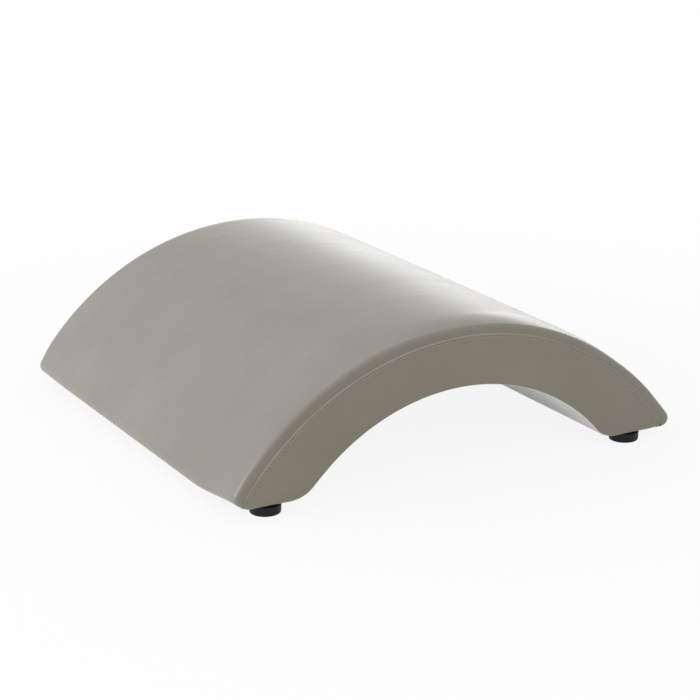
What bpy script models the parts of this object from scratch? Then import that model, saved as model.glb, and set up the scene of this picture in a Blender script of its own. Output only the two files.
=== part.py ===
# Pilates arc: an upholstered arch on a ribbed plywood frame, standing on four screwed rubber feet.
# X runs across the span, Y along the width and Z up. The origin is on the floor, under the crown.

import math

import bmesh
import bpy
from mathutils import Matrix

# Overall sizes, in metres
LENGTH = 0.650            # across the span at the underside of the legs, as if their edges were sharp
WIDTH = 0.615             # from one end panel to the other
CROWN_HEIGHT = 0.185      # underside of the legs to the top of the cover
CROWN_THICKNESS = 0.079   # top of the cover to the top of the tunnel
LEG_WIDTH = 0.107         # each leg across the span at its underside, as if its edges were sharp
FOOT_HEIGHT = 0.012       # floor to the underside of the legs

# Edges of the upholstery
ROLL_RADIUS = 0.010       # soft edge from the top cover onto each end
BASE_EASE = 0.001         # how much rounder than the roll the lower outer edge of each leg is
TUNNEL_ROUND = 0.040      # lower edge of each leg beside the tunnel
SEAM_MARGIN = 0.003       # end of the roll to the seam on the end panel

# Layers
COVER = 0.0012            # vinyl
FOAM = 0.025              # over the arch
FOAM_EASE = 0.0005        # how much rounder the foam's end edges are than the inside of the cover
DECK = 0.006              # bent plywood under the foam
SOFFIT = 0.004            # bent plywood over the tunnel
CLOTH = 0.0008            # woven cloth under the legs
GAP = 0.0003              # clearance between pieces that touch
FRAME_INSET = 0.0003      # start of the rolled edges to the ends of the frame

# Turned-under edges of the covers
TOP_HEM_MARGIN = 0.0113   # edge of the top cover's hem to the line of the bolts
LINING_HEM_MARGIN = 0.006 # edge of the lining's hem to the line of the bolts
END_HEM = 0.016           # end panel's hem, from the face of the panel
CLOTH_MARGIN = 0.003      # round of a leg to the long edge of its cloth
CLOTH_END_MARGIN = 0.003  # rolled edge of a leg to the end of its cloth

# Plywood and timber frame
RIB = 0.018
RIB_NAMES = ("rib_front", "rib_mid_front", "rib_mid_rear", "rib_rear")
SILL = 0.022
RAIL_WIDTH = 0.045
RAIL_DEPTH = 0.018
RAIL_FIT = 0.0004         # play of a rail in its notch

# Wood screws that hold the ribs to the sills
SCREW_LENGTH = 0.040
SCREW_SHANK = 0.0022
SCREW_HEAD = 0.0045
SCREW_RIM = 0.0004
SCREW_HEAD_HEIGHT = 0.0026
SCREW_TIP = 0.006

# Feet and their bolts
BOLT_SHARE = 0.742        # of the sill's width, from the tunnel's side to the line of the bolts
FOOT_RADIUS = 0.0195
FOOT_DRAFT = 0.0005
FOOT_EDGE = 0.0018
FOOT_END_MARGIN = 0.0210  # end panel to the centre of a foot
RECESS_RADIUS = 0.0095
RECESS_DEPTH = 0.0080
BOLT_RADIUS = 0.0030
BOLT_PLAY = 0.0004
BOLT_LENGTH = 0.0200
BOLT_HEAD_RADIUS = 0.0055
BOLT_HEAD_HEIGHT = 0.0033
WASHER_RADIUS = 0.0085
WASHER = 0.0015
INSERT_RADIUS = 0.0055
INSERT_LENGTH = 0.0150
INSERT_RIM_RADIUS = 0.0070
INSERT_RIM = 0.0012

# Finishes that several pieces share
VINYL_COLOUR = (0.29, 0.26, 0.215)
VINYL_ROUGHNESS = 0.45
LINING_COLOUR = (0.7, 0.68, 0.64)
FOAM_COLOUR = (0.78, 0.74, 0.6)
FOAM_ROUGHNESS = 0.95
PLYWOOD_COLOUR = (0.68, 0.52, 0.34)
TIMBER_COLOUR = (0.74, 0.6, 0.42)
WOOD_ROUGHNESS = 0.6

# Facets
ARC_STEPS = 36
FILLET_STEPS = 5
ROLL_STEPS = 4
FOOT_STEPS = 28
BOLT_STEPS = 16
SCREW_STEPS = 10
SAME_PLACE = 0.00001


def circle_through(span, rise):
    """Radius and centre height of the circle over this span, with this rise above the legs' underside."""
    radius = (span ** 2 / 4 + rise ** 2) / (2 * rise)
    return radius, FOOT_HEIGHT + rise - radius


# The outside of the cover and the tunnel are two circles about lines along Y
OUTER_RADIUS, OUTER_CENTRE = circle_through(LENGTH, CROWN_HEIGHT)
TUNNEL_RADIUS, TUNNEL_CENTRE = circle_through(LENGTH - 2 * LEG_WIDTH, CROWN_HEIGHT - CROWN_THICKNESS)

# The lower outer edges are rounder than the roll, which ends just before the seam
BASE_ROUND = ROLL_RADIUS + BASE_EASE
SEAM_DEPTH = ROLL_RADIUS + SEAM_MARGIN

# Depths below the outside of the cover
FOAM_TOP = COVER + GAP
DECK_TOP = FOAM_TOP + FOAM + GAP
RIB_TOP = DECK_TOP + DECK + GAP
TOP_RIM = 2 * SEAM_DEPTH

# Depths above the tunnel
SOFFIT_FACE = COVER + GAP
RIB_FACE = SOFFIT_FACE + SOFFIT + GAP

# Distances from the middle to the layers at each end
END_FACE = WIDTH / 2
END_FOAM_FACE = END_FACE - COVER - GAP
FRAME_END = END_FACE - ROLL_RADIUS - FRAME_INSET

# Heights from the floor
HEM_LOW = FOOT_HEIGHT + CLOTH + GAP
HEM_HIGH = HEM_LOW + COVER
FRAME_LOW = HEM_HIGH + GAP
SILL_TOP = FRAME_LOW + SILL
RIB_LOW = SILL_TOP + GAP


def outer(depth):
    """The circle that lies this deep below the outside of the cover."""
    return OUTER_RADIUS - depth, OUTER_CENTRE


def tunnel(depth):
    """The circle that lies this deep behind the face of the tunnel."""
    return TUNNEL_RADIUS + depth, TUNNEL_CENTRE


def reach(circle, height):
    """How far from the middle a circle is at this height."""
    radius, centre = circle
    return math.sqrt(radius ** 2 - (height - centre) ** 2)


def outer_round_middle(circle, low, rounding):
    """How far from the middle the rounding of a leg's outer lower edge is centred."""
    radius, centre = circle
    return math.sqrt((radius - rounding) ** 2 - (low + rounding - centre) ** 2)


def inner_round_middle(circle, low, rounding):
    """How far from the middle the rounding of a leg's edge beside the tunnel is centred."""
    radius, centre = circle
    return math.sqrt((radius + rounding) ** 2 - (low + rounding - centre) ** 2)


# The sill is narrowest where the inserts end
SILL_INNER = reach(tunnel(RIB_FACE), FRAME_LOW)
SILL_OUTER = reach(outer(RIB_TOP), FRAME_LOW + INSERT_LENGTH)
BOLT_LINE = SILL_INNER + BOLT_SHARE * (SILL_OUTER - SILL_INNER)
LINING_HEM_EDGE = BOLT_LINE - LINING_HEM_MARGIN
SCREW_LINE = (reach(outer(RIB_TOP), FRAME_LOW + SCREW_LENGTH) + SILL_INNER) / 2


def sill_face(x):
    """Height of a sill's underside this far from the middle, with its rounding beside the tunnel."""
    rounding = TUNNEL_ROUND - SOFFIT_FACE
    middle = inner_round_middle(tunnel(SOFFIT_FACE), FRAME_LOW, rounding)
    if x >= middle:
        return FRAME_LOW
    return FRAME_LOW + rounding - math.sqrt(rounding ** 2 - (middle - x) ** 2)


SCREW_LOW = sill_face(SCREW_LINE - SCREW_HEAD - GAP) + GAP


def new_object(name, mesh_source, hidden=False):
    """Turns a bmesh into an object at the origin of the scene."""
    mesh = bpy.data.meshes.new(name)
    mesh_source.to_mesh(mesh)
    mesh_source.free()
    obj = bpy.data.objects.new(name, mesh)
    bpy.context.scene.collection.objects.link(obj)
    if hidden:
        obj.hide_render = True
        obj.display_type = "WIRE"
    return obj


def finish(obj, colour, roughness, metallic=0.0):
    """Gives an object its own plain material."""
    material = bpy.data.materials.new(obj.name + "_finish")
    material.use_nodes = True
    shader = material.node_tree.nodes["Principled BSDF"]
    shader.inputs["Base Color"].default_value = (*colour, 1.0)
    shader.inputs["Roughness"].default_value = roughness
    shader.inputs["Metallic"].default_value = metallic
    obj.data.materials.append(material)
    return obj


def smooth(obj, angle=35):
    """Smooth shading that keeps edges sharper than this angle."""
    obj.data.shade_smooth()
    obj.data.set_sharp_from_angle(angle=math.radians(angle))
    return obj


def add_boolean(obj, other, operation):
    """Cuts or joins another object, and hides that one."""
    modifier = obj.modifiers.new(operation.lower() + "_" + other.name, "BOOLEAN")
    modifier.operation = operation
    modifier.object = other
    modifier.solver = "EXACT"


def arc(centre_x, centre_z, radius, start, end, steps):
    """Points of an arc in the XZ plane. Angles are clockwise from straight up."""
    points = []
    for step in range(steps + 1):
        angle = start + (end - start) * step / steps
        points.append((centre_x + radius * math.sin(angle), centre_z + radius * math.cos(angle)))
    return points


def outside_edge(circle, low, rounding):
    """The outer edge of an arch, left to right, with its lower edges rounded."""
    radius, centre = circle
    if rounding <= 0:
        turn = math.acos((low - centre) / radius)
        return arc(0, centre, radius, -turn, turn, ARC_STEPS)
    middle = outer_round_middle(circle, low, rounding)
    turn = math.atan2(middle, low + rounding - centre)
    left = arc(-middle, low + rounding, rounding, -math.pi, -turn, FILLET_STEPS)
    right = arc(middle, low + rounding, rounding, turn, math.pi, FILLET_STEPS)
    return left[:-1] + arc(0, centre, radius, -turn, turn, ARC_STEPS) + right[1:]


def inside_edge(circle, low, rounding):
    """The inner edge of an arch, right to left, with its lower edges rounded."""
    radius, centre = circle
    if rounding <= 0:
        turn = math.acos((low - centre) / radius)
        return arc(0, centre, radius, turn, -turn, ARC_STEPS)
    middle = inner_round_middle(circle, low, rounding)
    turn = math.atan2(middle, low + rounding - centre)
    right = arc(middle, low + rounding, rounding, math.pi, math.pi + turn, FILLET_STEPS)
    left = arc(-middle, low + rounding, rounding, -math.pi - turn, -math.pi, FILLET_STEPS)
    return right[:-1] + arc(0, centre, radius, turn, -turn, ARC_STEPS) + left[1:]


def prism(outline, y_low, y_high):
    """Extrudes a closed outline in the XZ plane along Y."""
    mesh = bmesh.new()
    face = mesh.faces.new([mesh.verts.new((x, y_low, z)) for x, z in outline])
    grown = bmesh.ops.extrude_face_region(mesh, geom=[face])["geom"]
    moved = [item for item in grown if isinstance(item, bmesh.types.BMVert)]
    bmesh.ops.translate(mesh, vec=(0, y_high - y_low, 0), verts=moved)
    bmesh.ops.recalc_face_normals(mesh, faces=mesh.faces)
    return mesh


def round_ends(mesh, rim, radius):
    """Rounds the edges at both ends of an arch that follow the rim, over the top and under both legs."""
    def on_rim(vert):
        return any(math.hypot(vert.co.x - x, vert.co.z - z) < SAME_PLACE for x, z in rim)

    rolled = []
    for edge in mesh.edges:
        first, second = edge.verts
        across = abs(first.co.y - second.co.y) < SAME_PLACE
        if across and on_rim(first) and on_rim(second):
            rolled.append(edge)
    bmesh.ops.bevel(
        mesh, geom=rolled, offset=radius, offset_type="OFFSET", segments=ROLL_STEPS,
        profile=0.5, affect="EDGES", clamp_overlap=False, material=-1,
    )
    bmesh.ops.recalc_face_normals(mesh, faces=mesh.faces)


def arch(outer_circle, inner_circle, low, y_low, y_high, outer_round=0.0, inner_round=0.0, roll=0.0):
    """An arch with flat-bottomed legs, between two circles and from one Y to the other."""
    outside = outside_edge(outer_circle, low, outer_round)
    inside = inside_edge(inner_circle, low, inner_round)
    mesh = prism(outside + inside, y_low, y_high)
    if roll > 0:
        round_ends(mesh, [inside[-1]] + outside + [inside[0]], roll)
    return mesh


def rolled_body(depth, low, ease=0.0):
    """The whole arch as one block with both ends rolled, this deep below the outside of its covers."""
    outside = outside_edge(outer(depth), low, BASE_ROUND - depth)
    high = low + 2 * ROLL_RADIUS
    opening = reach(tunnel(0), high) - ROLL_RADIUS / 2
    inside = [(opening, low), (opening, high), (-opening, high), (-opening, low)]
    mesh = prism(outside + inside, -END_FACE + depth, END_FACE - depth)
    round_ends(mesh, [inside[-1]] + outside + [inside[0]], ROLL_RADIUS - depth + ease)
    return mesh


def box(x_low, x_high, y_low, y_high, z_low, z_high):
    """A rectangular block."""
    outline = [(x_low, z_low), (x_low, z_high), (x_high, z_high), (x_high, z_low)]
    return prism(outline, y_low, y_high)


def turned(profile, steps, closed):
    """A turned solid about Z. A closed profile leaves a hole, and an open one ends on the axis."""
    mesh = bmesh.new()
    verts = [mesh.verts.new((radius, 0, height)) for radius, height in profile]
    edges = [mesh.edges.new(pair) for pair in zip(verts, verts[1:])]
    if closed:
        edges.append(mesh.edges.new((verts[-1], verts[0])))
    bmesh.ops.spin(
        mesh, geom=verts + edges, cent=(0, 0, 0), axis=(0, 0, 1), angle=math.tau,
        steps=steps, use_merge=True,
    )
    bmesh.ops.remove_doubles(mesh, verts=mesh.verts, dist=1e-5)
    bmesh.ops.recalc_face_normals(mesh, faces=mesh.faces)
    return mesh


def cover_top():
    """The vinyl over the arch, rolled onto both ends and turned under both legs."""
    skin = arch(
        outer(0), outer(TOP_RIM), HEM_LOW, -END_FACE, END_FACE,
        outer_round=BASE_ROUND, roll=ROLL_RADIUS,
    )
    obj = new_object("cover_top", skin)
    hollow = arch(
        outer(COVER), outer(2 * TOP_RIM), HEM_HIGH, -END_FACE + COVER, END_FACE - COVER,
        outer_round=BASE_ROUND - COVER, roll=ROLL_RADIUS - COVER,
    )
    add_boolean(obj, new_object("cover_top_hollow", hollow, hidden=True), "DIFFERENCE")
    for end, sign in (("front", -1), ("rear", 1)):
        y_low, y_high = sorted((sign * (END_FACE - END_HEM - GAP), sign * (END_FACE + GAP)))
        place = arch(outer(SEAM_DEPTH), outer(2 * TOP_RIM), 0, y_low, y_high)
        add_boolean(obj, new_object("end_panel_place_" + end, place, hidden=True), "DIFFERENCE")
    hem_end = BOLT_LINE + TOP_HEM_MARGIN
    hem_start = reach(outer(TOP_RIM), HEM_LOW) + COVER
    hem_reach = END_FACE - END_HEM - GAP
    for side, sign in (("left", -1), ("right", 1)):
        x_low, x_high = sorted((sign * hem_end, sign * hem_start))
        hem = box(x_low, x_high, -hem_reach, hem_reach, HEM_LOW, HEM_HIGH)
        add_boolean(obj, new_object("top_hem_" + side, hem, hidden=True), "UNION")
    return smooth(finish(obj, VINYL_COLOUR, VINYL_ROUGHNESS))


def cover_end(name, sign):
    """A flat vinyl end panel, from the seam to the tunnel, rolled and turned under both legs."""
    obj = new_object(name, rolled_body(0, HEM_LOW))
    hollow = new_object(name + "_hollow", rolled_body(COVER, HEM_HIGH), hidden=True)
    add_boolean(obj, hollow, "DIFFERENCE")
    y_low, y_high = sorted((sign * (END_FACE - END_HEM), sign * (END_FACE + GAP)))
    place = arch(
        outer(SEAM_DEPTH + GAP), tunnel(0), HEM_LOW, y_low, y_high, inner_round=TUNNEL_ROUND,
    )
    add_boolean(obj, new_object(name + "_place", place, hidden=True), "INTERSECT")
    return smooth(finish(obj, VINYL_COLOUR, VINYL_ROUGHNESS))


def cover_soffit():
    """The lining of the tunnel, turned under both legs and trimmed inside the end panels."""
    hem_depth = math.hypot(LINING_HEM_EDGE, HEM_LOW - TUNNEL_CENTRE) - TUNNEL_RADIUS
    skin = arch(
        tunnel(hem_depth), tunnel(0), HEM_LOW, -END_FACE, END_FACE, inner_round=TUNNEL_ROUND,
    )
    obj = new_object("cover_soffit", skin)
    hollow = arch(
        tunnel(2 * hem_depth), tunnel(COVER), HEM_HIGH, -END_FACE - GAP, END_FACE + GAP,
        inner_round=TUNNEL_ROUND - COVER,
    )
    add_boolean(obj, new_object("cover_soffit_hollow", hollow, hidden=True), "DIFFERENCE")
    inside = new_object("lining_room", rolled_body(FOAM_TOP, FRAME_LOW), hidden=True)
    for end, sign in (("front", -1), ("rear", 1)):
        y_low, y_high = sorted((sign * (END_FACE - END_HEM - GAP), sign * (END_FACE + GAP)))
        slab = box(-LENGTH / 2, LENGTH / 2, y_low, y_high, 0.0, FOOT_HEIGHT + CROWN_HEIGHT)
        trim = new_object("lining_trim_" + end, slab, hidden=True)
        add_boolean(trim, inside, "DIFFERENCE")
        add_boolean(obj, trim, "DIFFERENCE")
    return smooth(finish(obj, LINING_COLOUR, VINYL_ROUGHNESS))


def foam_top():
    """The foam over the deck, rounded under the rolled edges of the cover."""
    pad = arch(
        outer(FOAM_TOP), outer(FOAM_TOP + FOAM), FRAME_LOW, -END_FOAM_FACE, END_FOAM_FACE,
        outer_round=BASE_ROUND - FOAM_TOP, roll=ROLL_RADIUS - FOAM_TOP + FOAM_EASE,
    )
    return smooth(finish(new_object("foam_top", pad), FOAM_COLOUR, FOAM_ROUGHNESS))


def foam_end(name, sign):
    """The foam facing behind an end panel, rounded under the panel's rolled edge."""
    y_low, y_high = sorted((sign * (FRAME_END + GAP), sign * END_FACE))
    pad = arch(
        outer(DECK_TOP), tunnel(SOFFIT_FACE), FRAME_LOW, y_low, y_high,
        inner_round=TUNNEL_ROUND - SOFFIT_FACE,
    )
    obj = new_object(name, pad)
    room = new_object(name + "_room", rolled_body(FOAM_TOP, FRAME_LOW, FOAM_EASE), hidden=True)
    add_boolean(obj, room, "INTERSECT")
    return smooth(finish(obj, FOAM_COLOUR, FOAM_ROUGHNESS))


def deck():
    """The bent plywood skin under the foam."""
    skin = arch(outer(DECK_TOP), outer(DECK_TOP + DECK), FRAME_LOW, -FRAME_END, FRAME_END)
    return smooth(finish(new_object("deck", skin), PLYWOOD_COLOUR, WOOD_ROUGHNESS))


def soffit_panel():
    """The bent plywood skin over the tunnel, standing on the sills."""
    skin = arch(
        tunnel(SOFFIT_FACE + SOFFIT), tunnel(SOFFIT_FACE), RIB_LOW, -FRAME_END, FRAME_END,
    )
    return smooth(finish(new_object("soffit_panel", skin), PLYWOOD_COLOUR, WOOD_ROUGHNESS))


def rail_block(angle, play, headroom, half_length):
    """A cross rail, or its notch, laid flat against the deck at this angle from the crown."""
    top = math.sqrt((OUTER_RADIUS - RIB_TOP) ** 2 - (RAIL_WIDTH / 2) ** 2)
    half_width = RAIL_WIDTH / 2 + play
    block = box(
        -half_width, half_width, -half_length, half_length, top - RAIL_DEPTH - play, top + headroom,
    )
    turn = Matrix.Translation((0, 0, OUTER_CENTRE)) @ Matrix.Rotation(angle, 4, "Y")
    block.transform(turn)
    return block


def rails_and_notches():
    """The cross rails at the crown and halfway down each side, and the blocks that notch the ribs."""
    notches = []
    flank = math.acos((SILL_TOP - OUTER_CENTRE) / (OUTER_RADIUS - RIB_TOP)) / 2
    for name, angle in (("rail_left", -flank), ("rail_crown", 0.0), ("rail_right", flank)):
        rail = new_object(name, rail_block(angle, 0.0, 0.0, FRAME_END))
        finish(rail, TIMBER_COLOUR, WOOD_ROUGHNESS)
        notch = rail_block(angle, RAIL_FIT, RAIL_DEPTH, END_FACE)
        notches.append(new_object(name + "_notch", notch, hidden=True))
    return notches


def rib_places():
    """Y of the middle of each rib, from the front to the rear."""
    first = -FRAME_END + RIB / 2
    step = -2 * first / (len(RIB_NAMES) - 1)
    return [first + step * index for index in range(len(RIB_NAMES))]


def screw_profile(play, low):
    """Half outline of a countersunk wood screw, or of its hole from this height, up to the tip."""
    head, shank = SCREW_HEAD + play, SCREW_SHANK + play
    high = SCREW_LOW + SCREW_LENGTH + play
    return [
        (0, low), (head, low), (head, SCREW_LOW + SCREW_RIM - play),
        (shank, SCREW_LOW + SCREW_RIM + SCREW_HEAD_HEIGHT),
        (shank, high - SCREW_TIP), (0, high),
    ]


def moved(mesh, x, y, z=0.0):
    """Shifts a mesh before it becomes an object."""
    bmesh.ops.translate(mesh, vec=(x, y, z), verts=mesh.verts)
    return mesh


def rib_screws():
    """One screw up through each sill into each rib, and the hidden blocks that bore for them."""
    bores = {}
    for side, sign in (("left", -1), ("right", 1)):
        x = sign * SCREW_LINE
        for rib, y in zip(RIB_NAMES, rib_places()):
            name = rib.replace("rib", "screw", 1) + "_" + side
            screw = moved(turned(screw_profile(0.0, SCREW_LOW), SCREW_STEPS, closed=False), x, y)
            smooth(finish(new_object(name, screw), (0.75, 0.68, 0.45), 0.35, 1.0))
            bore = moved(turned(screw_profile(GAP, FRAME_LOW - GAP), SCREW_STEPS, closed=False), x, y)
            cutter = new_object(name + "_bore", bore, hidden=True)
            bores.setdefault(rib, []).append(cutter)
            bores.setdefault(side, []).append(cutter)
    return bores


def ribs(notches, bores):
    """The plywood arches, notched for the rails."""
    for name, y in zip(RIB_NAMES, rib_places()):
        plate = arch(outer(RIB_TOP), tunnel(RIB_FACE), RIB_LOW, y - RIB / 2, y + RIB / 2)
        obj = finish(new_object(name, plate), PLYWOOD_COLOUR, WOOD_ROUGHNESS)
        for cutter in notches + bores[name]:
            add_boolean(obj, cutter, "DIFFERENCE")


def foot_places():
    """Name, X and Y of each foot."""
    y = END_FACE - FOOT_END_MARGIN
    for end, y_sign in (("front", -1), ("rear", 1)):
        for side, x_sign in (("left", -1), ("right", 1)):
            yield end + "_" + side, side, x_sign * BOLT_LINE, y_sign * y


def insert_profile(play):
    """Half outline of a threaded insert's outside, rim first."""
    low = FRAME_LOW + GAP - play
    rim = low + INSERT_RIM + 2 * play
    high = FRAME_LOW + GAP + INSERT_LENGTH + play
    return [
        (INSERT_RIM_RADIUS + play, low), (INSERT_RIM_RADIUS + play, rim),
        (INSERT_RADIUS + play, rim), (INSERT_RADIUS + play, high),
    ]


def sills(bores):
    """The boards along the legs, shaped to the arch, flush with the lining's plywood, and bored."""
    for side, sign in (("left", -1), ("right", 1)):
        shaped = arch(
            outer(RIB_TOP), tunnel(SOFFIT_FACE), FRAME_LOW, -FRAME_END, FRAME_END,
            inner_round=TUNNEL_ROUND - SOFFIT_FACE,
        )
        board = smooth(finish(new_object("sill_" + side, shaped), TIMBER_COLOUR, WOOD_ROUGHNESS))
        x_low, x_high = sorted((0.0, sign * LENGTH / 2))
        plank = box(x_low, x_high, -END_FACE, END_FACE, 0.0, SILL_TOP)
        add_boolean(board, new_object("plank_" + side, plank, hidden=True), "INTERSECT")
        for cutter in bores[side]:
            add_boolean(board, cutter, "DIFFERENCE")
        for foot, foot_side, x, y in foot_places():
            if foot_side != side:
                continue
            profile = insert_profile(GAP)
            profile = [(0, profile[0][1])] + profile + [(0, profile[-1][1])]
            socket = moved(turned(profile, BOLT_STEPS, closed=False), x, y)
            add_boolean(board, new_object("socket_" + foot, socket, hidden=True), "DIFFERENCE")


def base_cloths():
    """The cloth under each leg, over the raw edges of the vinyl, pierced by the bolts."""
    outer_edge = outer_round_middle(outer(0), HEM_LOW, BASE_ROUND) - CLOTH_MARGIN
    inner_edge = inner_round_middle(tunnel(0), HEM_LOW, TUNNEL_ROUND) + CLOTH_MARGIN
    end = END_FACE - ROLL_RADIUS - CLOTH_END_MARGIN
    for side, sign in (("left", -1), ("right", 1)):
        x_low, x_high = sorted((sign * inner_edge, sign * outer_edge))
        sheet = box(x_low, x_high, -end, end, FOOT_HEIGHT, FOOT_HEIGHT + CLOTH)
        cloth = finish(new_object("base_cloth_" + side, sheet), (0.03, 0.03, 0.032), 0.95)
        for foot, foot_side, x, y in foot_places():
            if foot_side != side:
                continue
            hole = BOLT_RADIUS + BOLT_PLAY
            profile = [(0, 0), (hole, 0), (hole, 2 * FOOT_HEIGHT), (0, 2 * FOOT_HEIGHT)]
            pierce = moved(turned(profile, BOLT_STEPS, closed=False), x, y)
            add_boolean(cloth, new_object("cloth_hole_" + foot, pierce, hidden=True), "DIFFERENCE")


def feet():
    """Rubber feet with a recessed washer and bolt, and the threaded inserts that hold them."""
    top = FOOT_HEIGHT - GAP
    hole = BOLT_RADIUS + BOLT_PLAY
    washer_low = RECESS_DEPTH - GAP - WASHER
    head_low = washer_low - GAP - BOLT_HEAD_HEIGHT
    foot_profile = [(RECESS_RADIUS, 0)]
    foot_profile += arc(FOOT_RADIUS - FOOT_DRAFT - FOOT_EDGE, FOOT_EDGE, FOOT_EDGE, math.pi, math.pi / 2, 4)
    foot_profile += [(FOOT_RADIUS, top), (hole, top), (hole, RECESS_DEPTH), (RECESS_RADIUS, RECESS_DEPTH)]
    washer_profile = [
        (hole, washer_low), (WASHER_RADIUS, washer_low),
        (WASHER_RADIUS, washer_low + WASHER), (hole, washer_low + WASHER),
    ]
    crown = BOLT_HEAD_HEIGHT * 0.35
    bolt_profile = [
        (0, head_low), (BOLT_HEAD_RADIUS * 0.7, head_low), (BOLT_HEAD_RADIUS, head_low + crown),
        (BOLT_HEAD_RADIUS, head_low + BOLT_HEAD_HEIGHT), (BOLT_RADIUS, head_low + BOLT_HEAD_HEIGHT),
        (BOLT_RADIUS, head_low + BOLT_HEAD_HEIGHT + BOLT_LENGTH), (0, head_low + BOLT_HEAD_HEIGHT + BOLT_LENGTH),
    ]
    sleeve_profile = insert_profile(0.0)
    sleeve_profile += [(hole, sleeve_profile[-1][1]), (hole, sleeve_profile[0][1])]
    for name, side, x, y in foot_places():
        rubber = new_object("foot_" + name, moved(turned(foot_profile, FOOT_STEPS, closed=True), x, y))
        smooth(finish(rubber, (0.012, 0.012, 0.015), 0.6))
        washer = new_object("washer_" + name, moved(turned(washer_profile, BOLT_STEPS, closed=True), x, y))
        smooth(finish(washer, (0.62, 0.62, 0.62), 0.35, 1.0))
        bolt = new_object("bolt_" + name, moved(turned(bolt_profile, BOLT_STEPS, closed=False), x, y))
        smooth(finish(bolt, (0.62, 0.62, 0.62), 0.3, 1.0))
        sleeve = new_object("insert_" + name, moved(turned(sleeve_profile, BOLT_STEPS, closed=True), x, y))
        smooth(finish(sleeve, (0.7, 0.62, 0.4), 0.4, 1.0))


for leftover in list(bpy.data.objects):
    bpy.data.objects.remove(leftover, do_unlink=True)

cover_top()
cover_end("cover_end_front", -1)
cover_end("cover_end_rear", 1)
cover_soffit()
foam_top()
foam_end("foam_end_front", -1)
foam_end("foam_end_rear", 1)
deck()
soffit_panel()
rail_notches = rails_and_notches()
screw_bores = rib_screws()
ribs(rail_notches, screw_bores)
sills(screw_bores)
base_cloths()
feet()
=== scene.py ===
# Looks of a pilates arc: a foam arch in taupe vinyl with rolled edges, on four rubber feet.
# Metres throughout. X runs across the span, Y along the width and Z is up.

import math

import bmesh
import bpy
from mathutils import Matrix, Vector, noise


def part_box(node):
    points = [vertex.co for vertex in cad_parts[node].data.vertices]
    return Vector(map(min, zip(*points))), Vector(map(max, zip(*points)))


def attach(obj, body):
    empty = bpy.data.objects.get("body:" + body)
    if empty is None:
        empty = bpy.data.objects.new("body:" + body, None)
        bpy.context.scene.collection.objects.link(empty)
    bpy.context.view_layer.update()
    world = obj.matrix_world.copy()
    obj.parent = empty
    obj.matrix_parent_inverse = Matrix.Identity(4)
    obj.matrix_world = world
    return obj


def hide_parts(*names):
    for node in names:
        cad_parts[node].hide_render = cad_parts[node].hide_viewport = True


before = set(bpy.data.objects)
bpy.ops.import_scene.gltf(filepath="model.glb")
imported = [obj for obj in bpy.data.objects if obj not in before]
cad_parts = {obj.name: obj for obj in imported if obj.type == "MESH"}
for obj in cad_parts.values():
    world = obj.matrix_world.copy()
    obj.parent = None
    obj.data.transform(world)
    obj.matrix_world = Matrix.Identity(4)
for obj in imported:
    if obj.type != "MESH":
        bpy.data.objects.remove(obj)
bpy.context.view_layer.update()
print("frame loaded with", len(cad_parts), "nodes")

arcShape = {
    "span": 0.650,  # outer curve at the underside of the legs
    "legWidth": 0.107,
    "crownThickness": 0.079,
    "roll": 0.010,  # height at which the seam leaves the end face
    "softEdge": 0.0058,  # rounding from the top onto each end
    "baseRound": 0.011,  # outer lower edge of each leg
    "tunnelRound": 0.040,  # lower edge of each leg beside the tunnel
    "seamDepth": 0.013,  # outer curve to the sewn seam on the end face
}

coverLow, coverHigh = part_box("cover_top")
legBottom = coverLow.z
crown = coverHigh.z
endFace = coverHigh.y
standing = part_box("base_cloth_left")[0].z


def circleThrough(span, rise):
    # radius and centre height of the circle over this span
    radius = (span ** 2 / 4 + rise ** 2) / (2 * rise)
    return radius, standing + rise - radius


outerRadius, outerCentre = circleThrough(arcShape["span"], crown - standing)
tunnelRadius, tunnelCentre = circleThrough(
    arcShape["span"] - 2 * arcShape["legWidth"], crown - standing - arcShape["crownThickness"]
)
roll = arcShape["roll"]
softEdge = arcShape["softEdge"]
cornerRadius = arcShape["baseRound"]
cornerZ = legBottom + cornerRadius
cornerX = math.sqrt((outerRadius - cornerRadius) ** 2 - (cornerZ - outerCentre) ** 2)
cornerTurn = math.atan2(cornerX, cornerZ - outerCentre)
outerLength = 2 * outerRadius * cornerTurn
filletRadius = arcShape["tunnelRound"]
filletZ = legBottom + filletRadius
filletX = math.sqrt((tunnelRadius + filletRadius) ** 2 - (filletZ - tunnelCentre) ** 2)
filletTurn = math.atan2(filletX, filletZ - tunnelCentre)
filletLength = filletRadius * filletTurn
tunnelLength = 2 * tunnelRadius * filletTurn
edgeLength = tunnelLength + 2 * filletLength
seamRadius = outerRadius - arcShape["seamDepth"]
seamX = math.sqrt(seamRadius ** 2 - (legBottom + roll - outerCentre) ** 2)
mergeDistance = 0.00001


def blendStep(low, high, value):
    # 0 below low, 1 above high and a soft step between
    share = min(max((value - low) / (high - low), 0.0), 1.0)
    return share * share * (3 - 2 * share)


def spread(low, high, steps):
    return [low + (high - low) * step / steps for step in range(steps + 1)]


def waveAt(along, across, waves):
    # smooth noise with about this many waves per metre each way, read at the third value
    alongScale, acrossScale, seed = waves
    return noise.noise(Vector((along * alongScale, across * acrossScale, seed)))


def facingAt(turn):
    # direction this far round from straight up
    return Vector((math.sin(turn), 0, math.cos(turn)))


def onCircle(radius, turn):
    # point on a circle round the outer curve's centre
    return Vector((radius * math.sin(turn), 0, outerCentre + radius * math.cos(turn)))


def outlineAt(turn):
    # point and outward direction of the outer outline where it faces this way
    facing = facingAt(turn)
    if abs(turn) <= cornerTurn:
        return Vector((0, 0, outerCentre)) + outerRadius * facing, facing
    side = math.copysign(cornerX, turn)
    return Vector((side, 0, cornerZ)) + cornerRadius * facing, facing


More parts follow.
